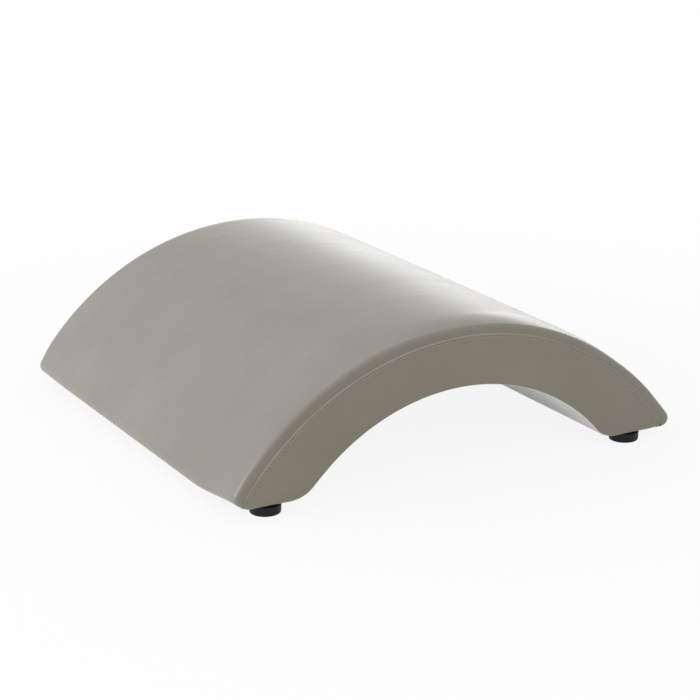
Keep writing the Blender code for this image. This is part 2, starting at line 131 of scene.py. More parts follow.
def innerAt(share):
    # point and outward direction along the tunnel's edge, left to right, with its rounded lower ends
    along = share * edgeLength
    if along < filletLength:
        facing = facingAt(math.pi - along / filletRadius)
        return Vector((-filletX, 0, filletZ)) + filletRadius * facing, facing
    if along > filletLength + tunnelLength:
        facing = facingAt(math.pi + (edgeLength - along) / filletRadius)
        return Vector((filletX, 0, filletZ)) + filletRadius * facing, facing
    facing = -facingAt(-filletTurn + (along - filletLength) / tunnelRadius)
    return Vector((0, 0, tunnelCentre)) - tunnelRadius * facing, facing


def gridSheet(mesh, columns, rows, place, uvStart=0.0):
    # a grid of faces whose corners go where place(column, row) says, with its lengths as UV
    made = bmesh.ops.create_grid(mesh, x_segments=len(columns) - 1, y_segments=len(rows) - 1, size=0.5)
    layer = mesh.loops.layers.uv.verify()
    spots = {}
    for vert in made["verts"]:
        column = round((vert.co.x + 0.5) * (len(columns) - 1))
        row = round((vert.co.y + 0.5) * (len(rows) - 1))
        vert.co = place(columns[column], rows[row])
        spots[vert] = (column, row)
    middleColumn, middleRow = len(columns) // 2, len(rows) // 2
    byPlace = {spot: vert.co for vert, spot in spots.items()}
    alongX, alongY = [0.0], [uvStart]
    for column in range(1, len(columns)):
        step = byPlace[column, middleRow] - byPlace[column - 1, middleRow]
        alongX.append(alongX[-1] + step.length)
    for row in range(1, len(rows)):
        step = byPlace[middleColumn, row] - byPlace[middleColumn, row - 1]
        alongY.append(alongY[-1] + step.length)
    for face in {face for vert in made["verts"] for face in vert.link_faces}:
        for loop in face.loops:
            column, row = spots[loop.vert]
            loop[layer].uv = (alongX[column], alongY[row])
    return spots


def linkedObject(name, data):
    made = bpy.data.objects.new(name, data)
    bpy.context.scene.collection.objects.link(made)
    return made


def objectFrom(mesh, name):
    # an object in the scene made from this bmesh, which ends here
    data = bpy.data.meshes.new(name)
    mesh.to_mesh(data)
    mesh.free()
    return linkedObject(name, data)


def pieceFrom(mesh, name, material, smooth):
    # a finished piece at the origin, its corners raised, shaded smooth up to this angle in degrees
    raiseCorners(mesh)
    piece = objectFrom(mesh, name)
    piece.data.materials.append(material)
    piece.data.shade_smooth()
    piece.data.set_sharp_from_angle(angle=math.radians(smooth))
    return piece


def turnOut(mesh):
    bmesh.ops.recalc_face_normals(mesh, faces=mesh.faces)


def closeAndTurnOut(mesh, thickness):
    # merges the seams of a skin, turns it outwards and gives it its thickness on the inside
    bmesh.ops.remove_doubles(mesh, verts=mesh.verts, dist=mergeDistance)
    turnOut(mesh)
    bmesh.ops.solidify(mesh, geom=mesh.faces, thickness=thickness)


frontDip = {
    "depth": 0.0039,
    "reach": 0.045,
    "power": 2.0,
    "left": (-0.12, -0.01),  # across the span, from the least dip to the full one
    "right": (0.22, 0.30),  # and from the full one to none
    "least": 0.1,
    "low": (0.004, 0.035),  # above the underside, from no dip to the full one
}


def dipAt(point, y):
    # how far the seam pulls the outline in towards the front end, over the crown and the right side
    near = 1 - min((endFace + y) / frontDip["reach"], 1.0)
    least = frontDip["least"]
    across = least + (1 - least) * blendStep(*frontDip["left"], point.x)
    across *= 1 - blendStep(*frontDip["right"], point.x)
    low = blendStep(*frontDip["low"], point.z - legBottom)
    return frontDip["depth"] * near ** frontDip["power"] * across * low


cornerSet = {
    # how far an outer lower corner is raised and pulled in, by whether it lies right and at the back
    "moves": {
        (False, False): (0.0057, 0.0060), (True, False): (0.0008, -0.0026),
        (False, True): (-0.0010, 0.0024), (True, True): (0.0023, 0.0024),
    },
    "across": (0.289, 0.311),
    "fromEnd": 0.110,
    "height": 0.055,
}


def raiseCorners(mesh):
    # the vinyl is pulled in at the outer lower corners, by hand and unequally,
    # and what is under it follows
    for vert in mesh.verts:
        lift, inwards = cornerSet["moves"][vert.co.x > 0, vert.co.y > 0]
        outer = blendStep(*cornerSet["across"], abs(vert.co.x))
        end = 1 - blendStep(0, cornerSet["fromEnd"], endFace - abs(vert.co.y))
        low = 1 - blendStep(0, cornerSet["height"], vert.co.z - legBottom)
        vert.co.z += lift * outer * end * low
        vert.co.x -= math.copysign(1, vert.co.x) * inwards * outer * end * low


def cubicBetween(before, start, end, after, share):
    # a smooth curve through four evenly spaced values, between the middle two
    linear = end - before
    square = 2 * before - 5 * start + 4 * end - after
    cube = 3 * (start - end) + after - before
    return start + 0.5 * share * (linear + share * (square + share * cube))


foamPress = {
    "frames": 20,
    "smoothing": 3,  # times that the moves are evened out
    "cloth": {
        "quality": 5, "mass": 0.06, "tension_stiffness": 15.0, "compression_stiffness": 15.0,
        "shear_stiffness": 7.5, "bending_stiffness": 1, "vertex_group_mass": "held",
        "use_pressure": True, "uniform_pressure_force": 4.0,
    },
}


def pressOut(name, columns, rows, place, outwardAt, cap):
    # lets the foam press on a sheet that is held round its edge, and returns how far it moved, by shares
    lastColumn, lastRow = len(columns) - 1, len(rows) - 1
    mesh = bmesh.new()
    spots = gridSheet(mesh, columns, rows, place)
    turnOut(mesh)
    mesh.normal_update()
    outward = {spot: outwardAt(columns[spot[0]], rows[spot[1]]) for spot in spots.values()}
    middle = next(vert for vert, spot in spots.items() if spot == (lastColumn // 2, lastRow // 2))
    if middle.normal.dot(outward[spots[middle]]) < 0:
        bmesh.ops.reverse_faces(mesh, faces=mesh.faces)
    mesh.verts.index_update()
    numbered = {spot: (vert.index, vert.co.copy()) for vert, spot in spots.items()}
    sheet = objectFrom(mesh, name)
    edge = sheet.vertex_groups.new(name="held")
    for (column, row), (index, _) in numbered.items():
        if column in (0, lastColumn) or row in (0, lastRow):
            edge.add([index], 1.0, "REPLACE")
    cloth = sheet.modifiers.new("pressed", "CLOTH")
    for setting, value in foamPress["cloth"].items():
        setattr(cloth.settings, setting, value)
    cloth.settings.effector_weights.gravity = 0
    cloth.collision_settings.use_collision = False
    cloth.collision_settings.use_self_collision = False
    cloth.point_cache.frame_start = 1
    cloth.point_cache.frame_end = foamPress["frames"]
    for step in range(1, foamPress["frames"] + 1):
        bpy.context.scene.frame_set(step)
    shaped = sheet.evaluated_get(bpy.context.evaluated_depsgraph_get()).data.vertices
    moves = {}
    for spot, (index, start) in numbered.items():
        moved = max((shaped[index].co - start).dot(outward[spot]), 0.0)
        moves[spot] = cap * (1 - math.exp(-moved / cap))
    most = max((shaped[index].co - start).length for index, start in numbered.values())
    steps = [(across, up) for across in (-1, 0, 1) for up in (-1, 0, 1)]
    for _ in range(foamPress["smoothing"]):
        rough = dict(moves)
        for column in range(1, lastColumn):
            for row in range(1, lastRow):
                around = [rough[column + across, row + up] for across, up in steps]
                moves[column, row] = sum(around) / len(around)
    bpy.data.objects.remove(sheet, do_unlink=True)
    bpy.context.scene.frame_set(1)
    print(name, "pressed out by up to", round(most * 1000, 1), "mm, kept to", cap * 1000, "mm")

    def movedAt(u, v):
        column, row = min(max(u, 0.0), 1.0) * lastColumn, min(max(v, 0.0), 1.0) * lastRow
        left, low = min(int(column), lastColumn - 1), min(int(row), lastRow - 1)
        nearColumns = [min(max(left + step, 0), lastColumn) for step in (-1, 0, 1, 2)]
        nearRows = [min(max(low + step, 0), lastRow) for step in (-1, 0, 1, 2)]
        lines = []
        for line in nearRows:
            lines.append(cubicBetween(*(moves[near, line] for near in nearColumns), column - left))
        return max(cubicBetween(*lines, row - low), 0.0)
    return movedAt


# Materials

noiseRange = (0.3, 0.7)  # where most values of a noise texture lie


def setInputs(tree, node, inputs):
    # each input gets a value, or a link from the socket that gives it
    for socket, value in inputs.items():
        if isinstance(value, bpy.types.NodeSocket):
            tree.links.new(value, node.inputs[socket])
        else:
            node.inputs[socket].default_value = value


def addNode(tree, kind, inputs=None, **settings):
    node = tree.nodes.new("ShaderNode" + kind)
    for name, value in settings.items():
        setattr(node, name, value)
    setInputs(tree, node, inputs or {})
    return node


def newMaterial(name, colour, roughness, metallic=0.0):
    material = bpy.data.materials.new(name)
    material.use_nodes = True
    tree = material.node_tree
    shader = tree.nodes["Principled BSDF"]
    setInputs(tree, shader, {"Base Color": (*colour, 1), "Roughness": roughness, "Metallic": metallic})
    return material, tree, shader


def objectPlace(tree):
    return addNode(tree, "TexCoord").outputs["Object"]


def noiseOf(tree, source, size, detail=3.0, roughness=0.5, scale=(1, 1, 1)):
    mapped = addNode(tree, "Mapping", {"Vector": source, "Scale": scale}).outputs["Vector"]
    inputs = {"Vector": mapped, "Scale": size, "Detail": detail, "Roughness": roughness}
    return addNode(tree, "TexNoise", inputs).outputs["Fac"]


def cellsOf(tree, source, size, feature="F1"):
    inputs = {"Vector": source, "Scale": size}
    return addNode(tree, "TexVoronoi", inputs, feature=feature).outputs["Distance"]


def mathOf(tree, operation, *values):
    return addNode(tree, "Math", dict(enumerate(values)), operation=operation).outputs[0]


def rangeOf(tree, value, low, high, newLow=0.0, newHigh=1.0):
    inputs = {"Value": value, "From Min": low, "From Max": high, "To Min": newLow, "To Max": newHigh}
    return addNode(tree, "MapRange", inputs).outputs["Result"]


def bumpOf(tree, height, distance, strength, before=None):
    inputs = {"Height": height, "Distance": distance, "Strength": strength}
    if before:
        inputs["Normal"] = before
    return addNode(tree, "Bump", inputs).outputs["Normal"]


def blendColours(tree, factor, first, second, blend="MIX"):
    # first and second are a colour each, or the socket that gives one
    mix = addNode(tree, "Mix", {"Factor": factor}, data_type="RGBA", blend_type=blend)
    for socket, value in ((6, first), (7, second)):
        isSocket = isinstance(value, bpy.types.NodeSocket)
        setInputs(tree, mix, {socket: value if isSocket else (*value, 1)})
    return mix.outputs[2]


def toneOf(tree, factor, look):
    return blendColours(tree, factor, look["dark"], look["light"])


vinylLook = {
    "plainRoughness": 0.4,  # where no texture is read
    "gloss": 0.55,  # specular level
    "coat": 0.15,  # clear top coat of the vinyl
    "coatRoughness": 0.28,
    "cloudSize": 9.0,  # clouds per metre
    "streakScale": (5.0, 60.0, 5.0),
    "grainSize": 900.0,  # grain cells per metre
    "grainDepth": 0.00004,
    "streakDepth": 0.00007,
    "dimpleSize": 42.0,  # shallow dimples over the foam, per metre
    "dimpleDepth": 0.00030,
    "bump": 0.6,  # strength of all three
    # before the end face: where the painted shade over the rolled edge starts and where it is full, the
    # top's painted sheen giving way to the ends' tone
    "overEdge": (0.0020, 0.0003),
}

# painted sheen: the top cover is the same vinyl as the ends, given a paler, more neutral colour for the
# light that it catches
paintedSheenTopLook = {"dark": (0.217, 0.206, 0.170), "light": (0.243, 0.233, 0.195), "roughness": (0.35, 0.43)}
endLook = {"dark": (0.226, 0.198, 0.148), "light": (0.246, 0.218, 0.165), "roughness": (0.36, 0.42)}
liningLook = {"dark": (0.85, 0.84, 0.82), "light": (0.91, 0.90, 0.88), "roughness": (0.48, 0.58)}

# painted highlight: a paler line along the end panels' folded edge where light catches the fold, broken
# into patches by noise and fading to the right and low down
foldHighlightLook = {
    "dark": (0.310, 0.280, 0.232),
    "light": (0.360, 0.330, 0.280),
    "middle": 0.0026,  # panel's edge to the middle of the paler line
    "width": (0.0003, 0.0016),  # from its middle, full and gone
    "highlightPatchSize": 22.0,
    "highlightPatchRange": (0.3, 0.6),
    "highlightPatchShare": (0.35, 1.0),
    "fadeRight": (0.03, 0.15),  # it fades here across the span
    "rightLeast": 0.15,
    "fadeLow": (0.030, 0.075),  # and at these heights
    "lowLeast": 0.2,
}


def foldHighlightStrength(tree, place, uv):
    # how much of the painted highlight along the folded edge shows: near its middle, in patches of noise,
    # and most on the left and high up, where light catches the fold
    along = addNode(tree, "SeparateXYZ", {"Vector": uv})
    away = mathOf(tree, "ABSOLUTE", mathOf(tree, "SUBTRACT", along.outputs["Y"], foldHighlightLook["middle"]))
    strength = rangeOf(tree, away, *foldHighlightLook["width"], 1.0, 0.0)
    highlightPatches = noiseOf(tree, place, foldHighlightLook["highlightPatchSize"], 3.0, 0.6)
    where = addNode(tree, "SeparateXYZ", {"Vector": place})
    for share in (
        rangeOf(tree, highlightPatches, *foldHighlightLook["highlightPatchRange"], *foldHighlightLook["highlightPatchShare"]),
        rangeOf(tree, where.outputs["X"], *foldHighlightLook["fadeRight"], 1.0, foldHighlightLook["rightLeast"]),
        rangeOf(tree, where.outputs["Z"], *foldHighlightLook["fadeLow"], foldHighlightLook["lowLeast"], 1.0),
    ):
        strength = mathOf(tree, "MULTIPLY", strength, share)
    return strength


def makeVinyl(name, look, folded=False, ends=None):
    # grained vinyl with faint clouds and streaks along its pull, with a painted highlight along a folded
    # edge, and over the rolled edge the ends' tone as painted shade, where the top's painted sheen stops
    material, tree, shader = newMaterial(name, look["light"], vinylLook["plainRoughness"])
    coordinates = addNode(tree, "TexCoord")
    place, uv = coordinates.outputs["Object"], coordinates.outputs["UV"]
    clouds = noiseOf(tree, place, vinylLook["cloudSize"], 4.0, 0.6)
    tone = rangeOf(tree, clouds, *noiseRange)
    colour = toneOf(tree, tone, look)
    # painted highlight along the folded edge
    if folded:
        colour = blendColours(tree, foldHighlightStrength(tree, place, uv), colour, toneOf(tree, tone, foldHighlightLook))
    # painted shade: over the rolled edge the colour turns to the ends' darker, warmer tone, so the top's
    # painted sheen stops there
    if ends:
        across = addNode(tree, "SeparateXYZ", {"Vector": place})
        away = mathOf(tree, "ABSOLUTE", across.outputs["Y"])
        start, full = vinylLook["overEdge"]
        over = rangeOf(tree, away, endFace - start, endFace - full)
        colour = blendColours(tree, over, colour, toneOf(tree, tone, ends))
    streaks = noiseOf(tree, uv, 1.0, 3.0, 0.55, vinylLook["streakScale"])
    grain = cellsOf(tree, place, vinylLook["grainSize"], "SMOOTH_F1")
    dimples = noiseOf(tree, place, vinylLook["dimpleSize"], 2.0, 0.5)
    normal = bumpOf(tree, dimples, vinylLook["dimpleDepth"], vinylLook["bump"])
    normal = bumpOf(tree, streaks, vinylLook["streakDepth"], vinylLook["bump"], normal)
    normal = bumpOf(tree, grain, vinylLook["grainDepth"], vinylLook["bump"], normal)
    setInputs(tree, shader, {
        "Specular IOR Level": vinylLook["gloss"],
        "Coat Weight": vinylLook["coat"],
        "Coat Roughness": vinylLook["coatRoughness"],
        "Base Color": colour,
        "Roughness": rangeOf(tree, streaks, *noiseRange, *look["roughness"]),
        "Normal": normal,
    })
    return material


woodLook = {
    "plywood": {"light": (0.66, 0.50, 0.31), "dark": (0.44, 0.29, 0.15)},
    "timber": {"light": (0.72, 0.56, 0.36), "dark": (0.55, 0.37, 0.20)},
    "toneRange": (0.35, 0.65),
    "roughness": 0.62,
    "grainDepth": 0.0004,
    "bump": 0.4,
    "plyThickness": 0.0014,
    "plyRange": (-0.3, 0.3),  # of the wave that counts the plies
    "plyShade": (0.62, 1.0),
    "alongX": (8, 60, 60),  # stretch of the grain
    "alongY": (60, 8, 60),
    "railGrain": (70, 5, 70),
}


def makeWood(name, kind, grainScale, plies=None):
    # long grain along one axis; plies is "flat" for layers counted across the width, or the height
    # of the centre that bent layers are counted from
    look = woodLook[kind]
    material, tree, shader = newMaterial(name, look["light"], woodLook["roughness"])
    place = objectPlace(tree)
    grain = noiseOf(tree, place, 1.0, 5.0, 0.6, grainScale)
    colour = toneOf(tree, rangeOf(tree, grain, *woodLook["toneRange"]), look)
    if plies:
        if plies == "flat":
            count = addNode(tree, "SeparateXYZ", {"Vector": place}).outputs["Y"]
        else:
            inputs = {"Vector": place, "Location": (0, 0, -plies), "Scale": (1, 0, 1)}
            mapped = addNode(tree, "Mapping", inputs).outputs["Vector"]
            count = addNode(tree, "VectorMath", {0: mapped}, operation="LENGTH").outputs["Value"]
        wave = mathOf(tree, "MULTIPLY", count, math.pi / woodLook["plyThickness"])
        band = mathOf(tree, "SINE", wave)
        layers = rangeOf(tree, band, *woodLook["plyRange"], *woodLook["plyShade"])
        colour = blendColours(tree, 1.0, colour, layers, "MULTIPLY")
    normal = bumpOf(tree, grain, woodLook["grainDepth"], woodLook["bump"])
    setInputs(tree, shader, {"Base Color": colour, "Normal": normal})
    return material


metal = {"metallic": 1.0, "noise": (400.0,), "bump": (0.00005, 0.5)}

# relief, tone and roughness from one texture: cells per metre, or a noise's size, detail and roughness;
# a bump is its depth and strength
plainLooks = {
    "taupeThread": {
        "colour": (0.52, 0.49, 0.43), "roughness": 0.55, "noise": (1500.0, 2.0), "bump": (0.0001, 0.7),
    },
    "openFoam": {
        "dark": (0.66, 0.61, 0.46), "light": (0.80, 0.76, 0.62), "toneRange": (0.1, 0.7),
        "roughness": 0.95, "cells": 700.0, "bump": (0.0006, 0.8),
    },
    "zincSteel": {"colour": (0.60, 0.61, 0.62), "roughness": 0.3, "wear": (0.24, 0.42), **metal},
    "yellowZinc": {"colour": (0.72, 0.60, 0.36), "roughness": 0.34, "wear": (0.28, 0.46), **metal},
    "footRubber": {
        "dark": (0.008, 0.009, 0.012), "light": (0.015, 0.016, 0.020), "toneRange": (0.35, 0.7),
        "roughness": 0.5, "wear": (0.42, 0.6), "gloss": 0.2, "noise": (1400.0,), "bump": (0.00012, 0.5),
    },
    "blackBaseCloth": {
        "dark": (0.016, 0.016, 0.017), "light": (0.040, 0.040, 0.042), "toneRange": (0.35, 0.65),
        "roughness": 0.9, "noise": (900.0, 4.0, 0.7), "bump": (0.0002, 0.7),
        "dimples": (420.0, 0.0003, 0.6),
    },
}


def makePlain(name):
    look = plainLooks[name]
    colour = look["colour"] if "colour" in look else look["dark"]
    material, tree, shader = newMaterial(name, colour, look["roughness"], look.get("metallic", 0.0))
    place = objectPlace(tree)
    if "cells" in look:
        texture = cellsOf(tree, place, look["cells"])
    else:
        texture = noiseOf(tree, place, *look["noise"])
    normal = bumpOf(tree, texture, *look["bump"])
    if "dimples" in look:
        size, *depthAndStrength = look["dimples"]
        normal = bumpOf(tree, cellsOf(tree, place, size, "SMOOTH_F1"), *depthAndStrength, normal)
    inputs = {"Normal": normal}
    if "dark" in look:
        inputs["Base Color"] = toneOf(tree, rangeOf(tree, texture, *look["toneRange"]), look)
    if "wear" in look:
        inputs["Roughness"] = rangeOf(tree, texture, *noiseRange, *look["wear"])
    if "gloss" in look:
        inputs["Specular IOR Level"] = look["gloss"]
    setInputs(tree, shader, inputs)
    return material


# top cover vinyl, with painted sheen and a painted shade over its rolled edges
topVinyl = makeVinyl("warmGreyVinylPaintedSheen", paintedSheenTopLook, ends=endLook)
# end panels' vinyl, with a painted highlight along the folded edge
endVinyl = makeVinyl("taupeVinylPaintedFoldHighlight", endLook, folded=True)
liningVinyl = makeVinyl("paleLiningVinyl", liningLook)
thread = makePlain("taupeThread")
foam = makePlain("openFoam")
flatPlywood = makeWood("ribPlywood", "plywood", woodLook["alongX"], "flat")
deckPlywood = makeWood("deckPlywood", "plywood", woodLook["alongY"], outerCentre)
soffitPlywood = makeWood("soffitPlywood", "plywood", woodLook["alongY"], tunnelCentre)
timber = makeWood("softwood", "timber", woodLook["railGrain"])
steel = makePlain("zincSteel")
brass = makePlain("yellowZinc")
rubber = makePlain("footRubber")
baseCloth = makePlain("blackBaseCloth")
print("materials made")

# Top cover

topCover = {
    "columnWidth": 0.0024,  # along the arch
    "cornerSteps": 12,  # columns round each lower corner
    "rowWidth": 0.010,  # across the top
    "frontSteps": (0.0025, 0.005, 0.0075, 0.015, 0.025),  # further rows by the front end
    "rollRows": 12,
    "thickness": 0.0008,
    # edge that passes under the end panel: depth below the outer curve and height, in millimetres
    "edge": [(16.2, -1.9), (15.4, -1.3), (14.8, -0.6), (14.3, -0.26), (13.7, -0.12), (13.0, -0.03),
             (12.2, 0.03), (11.2, 0.10), (10.2, 0.16), (9.2, 0.20), (8.2, 0.20), (7.2, 0.14), (6.4, 0.05)],
    "hemWidth": 0.038,
    "hemCurl": 0.002,  # the hem rises over this far
    "hemRise": 0.0010,
    "hemRows": 7,
    "hemSqueeze": 0.45,  # narrowing of the hem per metre
    "slack": 0.00022,  # unevenness of the pulled vinyl
    "wideWaves": (7, 9, 1.7),
    "narrowWaves": (9, 34, 5.2),
    "calmEnd": 0.04,  # distances over which it calms down to the ends and the underside
    "calmLow": 0.02,
    "stapleSpacing": 0.042,
    "staplePull": 0.00022,
    "stapleFade": 0.022,  # height over which the pulls fade
    "pressCap": 0.0014,  # most that the foam swells the cover
    "pressGrid": 0.011,
}


def columnTurns():
    # the ways the outer outline faces, left to right, over both lower corners
    mainSteps = round(outerLength / topCover["columnWidth"])
    left = spread(-math.pi, -cornerTurn, topCover["cornerSteps"])[:-1]
    right = spread(cornerTurn, math.pi, topCover["cornerSteps"])[1:]
    columns = [(-math.pi, 1.0), (-math.pi, 0.5)]
    columns += [(turn, 0.0) for turn in left + spread(-cornerTurn, cornerTurn, mainSteps) + right]
    return columns + [(math.pi, 0.5), (math.pi, 1.0)]


def seamPoint(turn):
    # where the seam lies on the end face, held at the lower roll once it gets there
    point = onCircle(seamRadius, turn)
    if abs(turn) > cornerTurn or point.z < legBottom + roll:
        return Vector((math.copysign(seamX, turn), 0, legBottom + roll))
    return point


def acrossRows():
    half = endFace - softEdge
    rows = spread(-half, half, round(2 * half / topCover["rowWidth"]))
    return sorted(rows + [step - half for step in topCover["frontSteps"]])


def topRows():
    # from the front seam to the rear one: ("face", (depth, height)), ("roll", angle) or ("top", y)
    edge = [("face", pair) for pair in topCover["edge"]]
    edge += [("roll", angle) for angle in spread(0, math.pi / 2, topCover["rollRows"])[:-1]]
    top = [("top", y, 0) for y in acrossRows()]
    return [(*row, -1) for row in edge] + top + [(*row, 1) for row in edge[::-1]]


def unevenness(along, y, low):
    # the small waves that hand-pulled vinyl keeps, with shallow pulls towards the staples below
    wide = waveAt(along, y, topCover["wideWaves"])
    narrow = waveAt(along, y, topCover["narrowWaves"])
    pull = math.cos(2 * math.pi * y / topCover["stapleSpacing"] + 2 * narrow)
    pull *= math.exp(-low / topCover["stapleFade"])
    return topCover["slack"] * (0.7 * wide + 0.3 * narrow) + topCover["staplePull"] * pull


def placeTop(swell):
    def place(column, row):
        turn, slide = column
        kind, value, side = row
        point, facing = outlineAt(turn)
        if slide:
            point = point.lerp(Vector((math.copysign(seamX, turn), 0, point.z)), slide)
        if kind == "top":
            y = value
            low = max(point.z - legBottom - cornerRadius, 0.0)
            calm = blendStep(0, topCover["calmEnd"], endFace - softEdge - abs(y))
            calm *= blendStep(0, topCover["calmLow"], point.z - legBottom)
            lift = swell(turn, y) + calm * unevenness(outerRadius * turn, y, low) - dipAt(point, y)
            return point + facing * lift + Vector((0, y, 0))
        if kind == "roll":
            depth = softEdge * (1 - math.sin(value))
            y = side * (endFace - softEdge * (1 - math.cos(value)))
            return point - facing * (depth + dipAt(point, y)) + Vector((0, y, 0))
        depth, height = value[0] / 1000, value[1] / 1000
        rim, seam = point - facing * (softEdge + dipAt(point, side * endFace)), seamPoint(turn)
        share = (depth - softEdge) / (arcShape["seamDepth"] - softEdge)
        inwards = (Vector((0, 0, outerCentre)) - seam).normalized()
        under = inwards * max(depth - arcShape["seamDepth"], 0.0)
        return rim.lerp(seam, min(share, 1.0)) + under + Vector((0, side * (endFace + height), 0))
    return place


def addHems(mesh, look, edgeX, towards, rows):
    # a hem turned under each leg from its edge, towards the tunnel with -1 or away from it with 1
    curl = look["hemCurl"]
    steps = [0, curl / 2, curl] + spread(2 * curl, look["hemWidth"], look["hemRows"])
    for side in (-1, 1):
        def placeHem(distance, y):
            squeeze = 1 - look["hemSqueeze"] * distance
            rise = look["hemRise"] * blendStep(0, curl, distance)
            return Vector((side * (edgeX + towards * distance), y * squeeze, legBottom + rise))
        gridSheet(mesh, steps, rows, placeHem)


def buildTopCover():
    half = endFace - softEdge
    turns = spread(-cornerTurn, cornerTurn, round(outerLength / topCover["pressGrid"]))
    pressRows = [("top", y, 0) for y in spread(-half, half, round(2 * half / topCover["pressGrid"]))]
    pressed = pressOut(
        "topPress", [(turn, 0.0) for turn in turns], pressRows, placeTop(lambda turn, y: 0.0),
        lambda column, row: outlineAt(column[0])[1], topCover["pressCap"],
    )

    def swell(turn, y):
        if abs(turn) >= cornerTurn:
            return 0.0
        return pressed((turn + cornerTurn) / (2 * cornerTurn), (y + half) / (2 * half))

    mesh = bmesh.new()
    gridSheet(mesh, columnTurns(), topRows(), placeTop(swell))
    addHems(mesh, topCover, seamX, -1, acrossRows())
    closeAndTurnOut(mesh, topCover["thickness"])
    cover = pieceFrom(mesh, "topCoverVinyl", topVinyl, 60)
    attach(cover, "root")
    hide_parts("cover_top")


buildTopCover()
print("top cover sewn")

# End covers

endCover = {
    "columnWidth": 0.0024,
    # folded edge that laps over the top cover, and the sewn row: depth and height in millimetres
    "edge": [(13.6, -0.20), (13.0, -0.12), (12.9, 0.00), (13.1, 0.22), (13.5, 0.52), (14.0, 0.82),
             (14.6, 1.08), (15.3, 1.22), (16.0, 1.12), (16.7, 0.82), (17.3, 0.45), (17.8, 0.16),
             (18.2, -0.02), (18.5, -0.08), (18.8, -0.02), (19.4, 0.16), (20.2, 0.22), (21.4, 0.16),
             (22.8, 0.06), (24.6, 0.0)],
    "faceRows": 12,
    "edgeRows": 7,
    "tunnelEdge": 0.0025,  # rounding beside the tunnel
    "legEdge": 0.0065,  # rounding under the leg
    "edgeGrows": 0.10,  # share of the tunnel's edge over which it grows, at each leg
    "legReach": 0.018,  # inside the seam's foot, where a curve ends at the leg's rounding
    # behind the rounding, where the edge turns in: distance from it and depth of the tuck
    "turned": [(0.0010, 0.0), (0.0014, 0.0003), (0.0016, 0.0009), (0.0016, 0.0040)],
    "thickness": 0.0008,
    "hemWidth": 0.012,
    "hemRows": 4,
    "underStart": 0.1,  # keeps the underside's UV off the paler fold line
    "pressCap": 0.0009,
    "pressGrid": 0.0075,
    "pressRows": 8,
}


def edgeRounding(share):
    # rounding of the panel's edge along the tunnel, growing down the leg
    away = blendStep(0.0, endCover["edgeGrows"], min(share, 1 - share))
    return endCover["legEdge"] + (endCover["tunnelEdge"] - endCover["legEdge"]) * away


def circleAtDepth(depth, share):
    # a point of the circle this deep, from where it leaves the lower edge on the left to the right
    radius = outerRadius - depth
    low = legBottom + roll
    for _ in range(3):
        reach = math.sqrt(radius ** 2 - (low - outerCentre) ** 2)
        near = blendStep(0, endCover["legReach"], seamX - reach)
        low = legBottom + roll + (endCover["legEdge"] - roll) * near
    turn = math.acos((low - outerCentre) / radius)
    return onCircle(radius, -turn + 2 * turn * share)


def buildEndCover(name, node, side):
    outwards = Vector((0, side, 0))
    lastDepth = endCover["edge"][-1][0] / 1000

    def placeWith(pillow):
        def place(share, row):
            kind, value = row
            if kind == "sewn":
                depth, height = value
                return circleAtDepth(depth / 1000, share) + outwards * (endFace + height / 1000)
            edge, facing = innerAt(share)
            rounding = edgeRounding(share)
            inset = edge - facing * rounding
            if kind == "share":
                flat = circleAtDepth(lastDepth, share).lerp(inset, value)
                return flat + outwards * (endFace + pillow(share, value))
            if kind == "edge":
                drop = rounding * (1 - math.cos(value))
                return inset + facing * rounding * math.sin(value) + outwards * (endFace - drop)
            behind, tuck = value
            return edge - facing * tuck + outwards * (endFace - rounding - behind)
        return place

    pressed = pressOut(
        name + "Press", spread(0, 1, round(outerLength / endCover["pressGrid"])),
        [("share", share) for share in spread(0, 1, endCover["pressRows"])],
        placeWith(lambda share, down: 0.0), lambda column, row: outwards, endCover["pressCap"],
    )
    place = placeWith(pressed)
    lineRows = [("sewn", pair) for pair in endCover["edge"]]
    lineRows += [("share", share) for share in spread(0, 1, endCover["faceRows"])[1:]]
    rows = lineRows + [("edge", angle) for angle in spread(0, math.pi / 2, endCover["edgeRows"])[1:]]
    rows += [("turned", pair) for pair in endCover["turned"]]
    mesh = bmesh.new()
    gridSheet(mesh, spread(0, 1, round(outerLength / endCover["columnWidth"])), rows, place)
    under = [("edge", angle) for angle in spread(0, math.pi / 2, endCover["edgeRows"])]
    hem = spread(0, endCover["hemWidth"], endCover["hemRows"])[1:]
    under += [("hem", distance) for distance in hem]
    for end in (0, 1):
        def placeUnder(row, step):
            start = place(end, row)
            rounding = start.z - legBottom
            kind, value = step
            lift = start.y * side - endFace
            if kind == "edge":
                outward = outwards * math.cos(value) - Vector((0, 0, math.sin(value)))
                middle = Vector((start.x, side * (endFace - rounding), legBottom + rounding))
                return middle + outward * (rounding + lift)
            return Vector((start.x, side * (endFace - rounding - value), legBottom - lift))
        gridSheet(mesh, lineRows, under, placeUnder, endCover["underStart"])
    closeAndTurnOut(mesh, endCover["thickness"])
    cover = pieceFrom(mesh, name, endVinyl, 60)
    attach(cover, "root")
    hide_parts(node)


buildEndCover("frontCoverVinyl", "cover_end_front", -1)
buildEndCover("rearCoverVinyl", "cover_end_rear", 1)
print("end covers sewn")

# Tunnel lining

lining = {
    "columnWidth": 0.005,
    "rowWidth": 0.012,
    "thickness": 0.0008,
    # edge tucked behind the end panels: distance from their rounding and depth of the tuck
    "rim": [(0.0016, 0.0040), (0.0017, 0.0009), (0.0019, 0.0003), (0.0023, 0.0)],
    "rimWidth": 0.0026,
    "slack": 0.0002,
    "waves": (4, 12, 8.1),  # the first along the whole tunnel
    "calmEnd": 0.03,
    "calmLow": 0.02,  # share of the tunnel's edge
    "hemWidth": 0.018,
    "hemCurl": 0.003,
    "hemRise": 0.0010,
    "hemRows": 3,
    "hemSqueeze": 0.0,
}


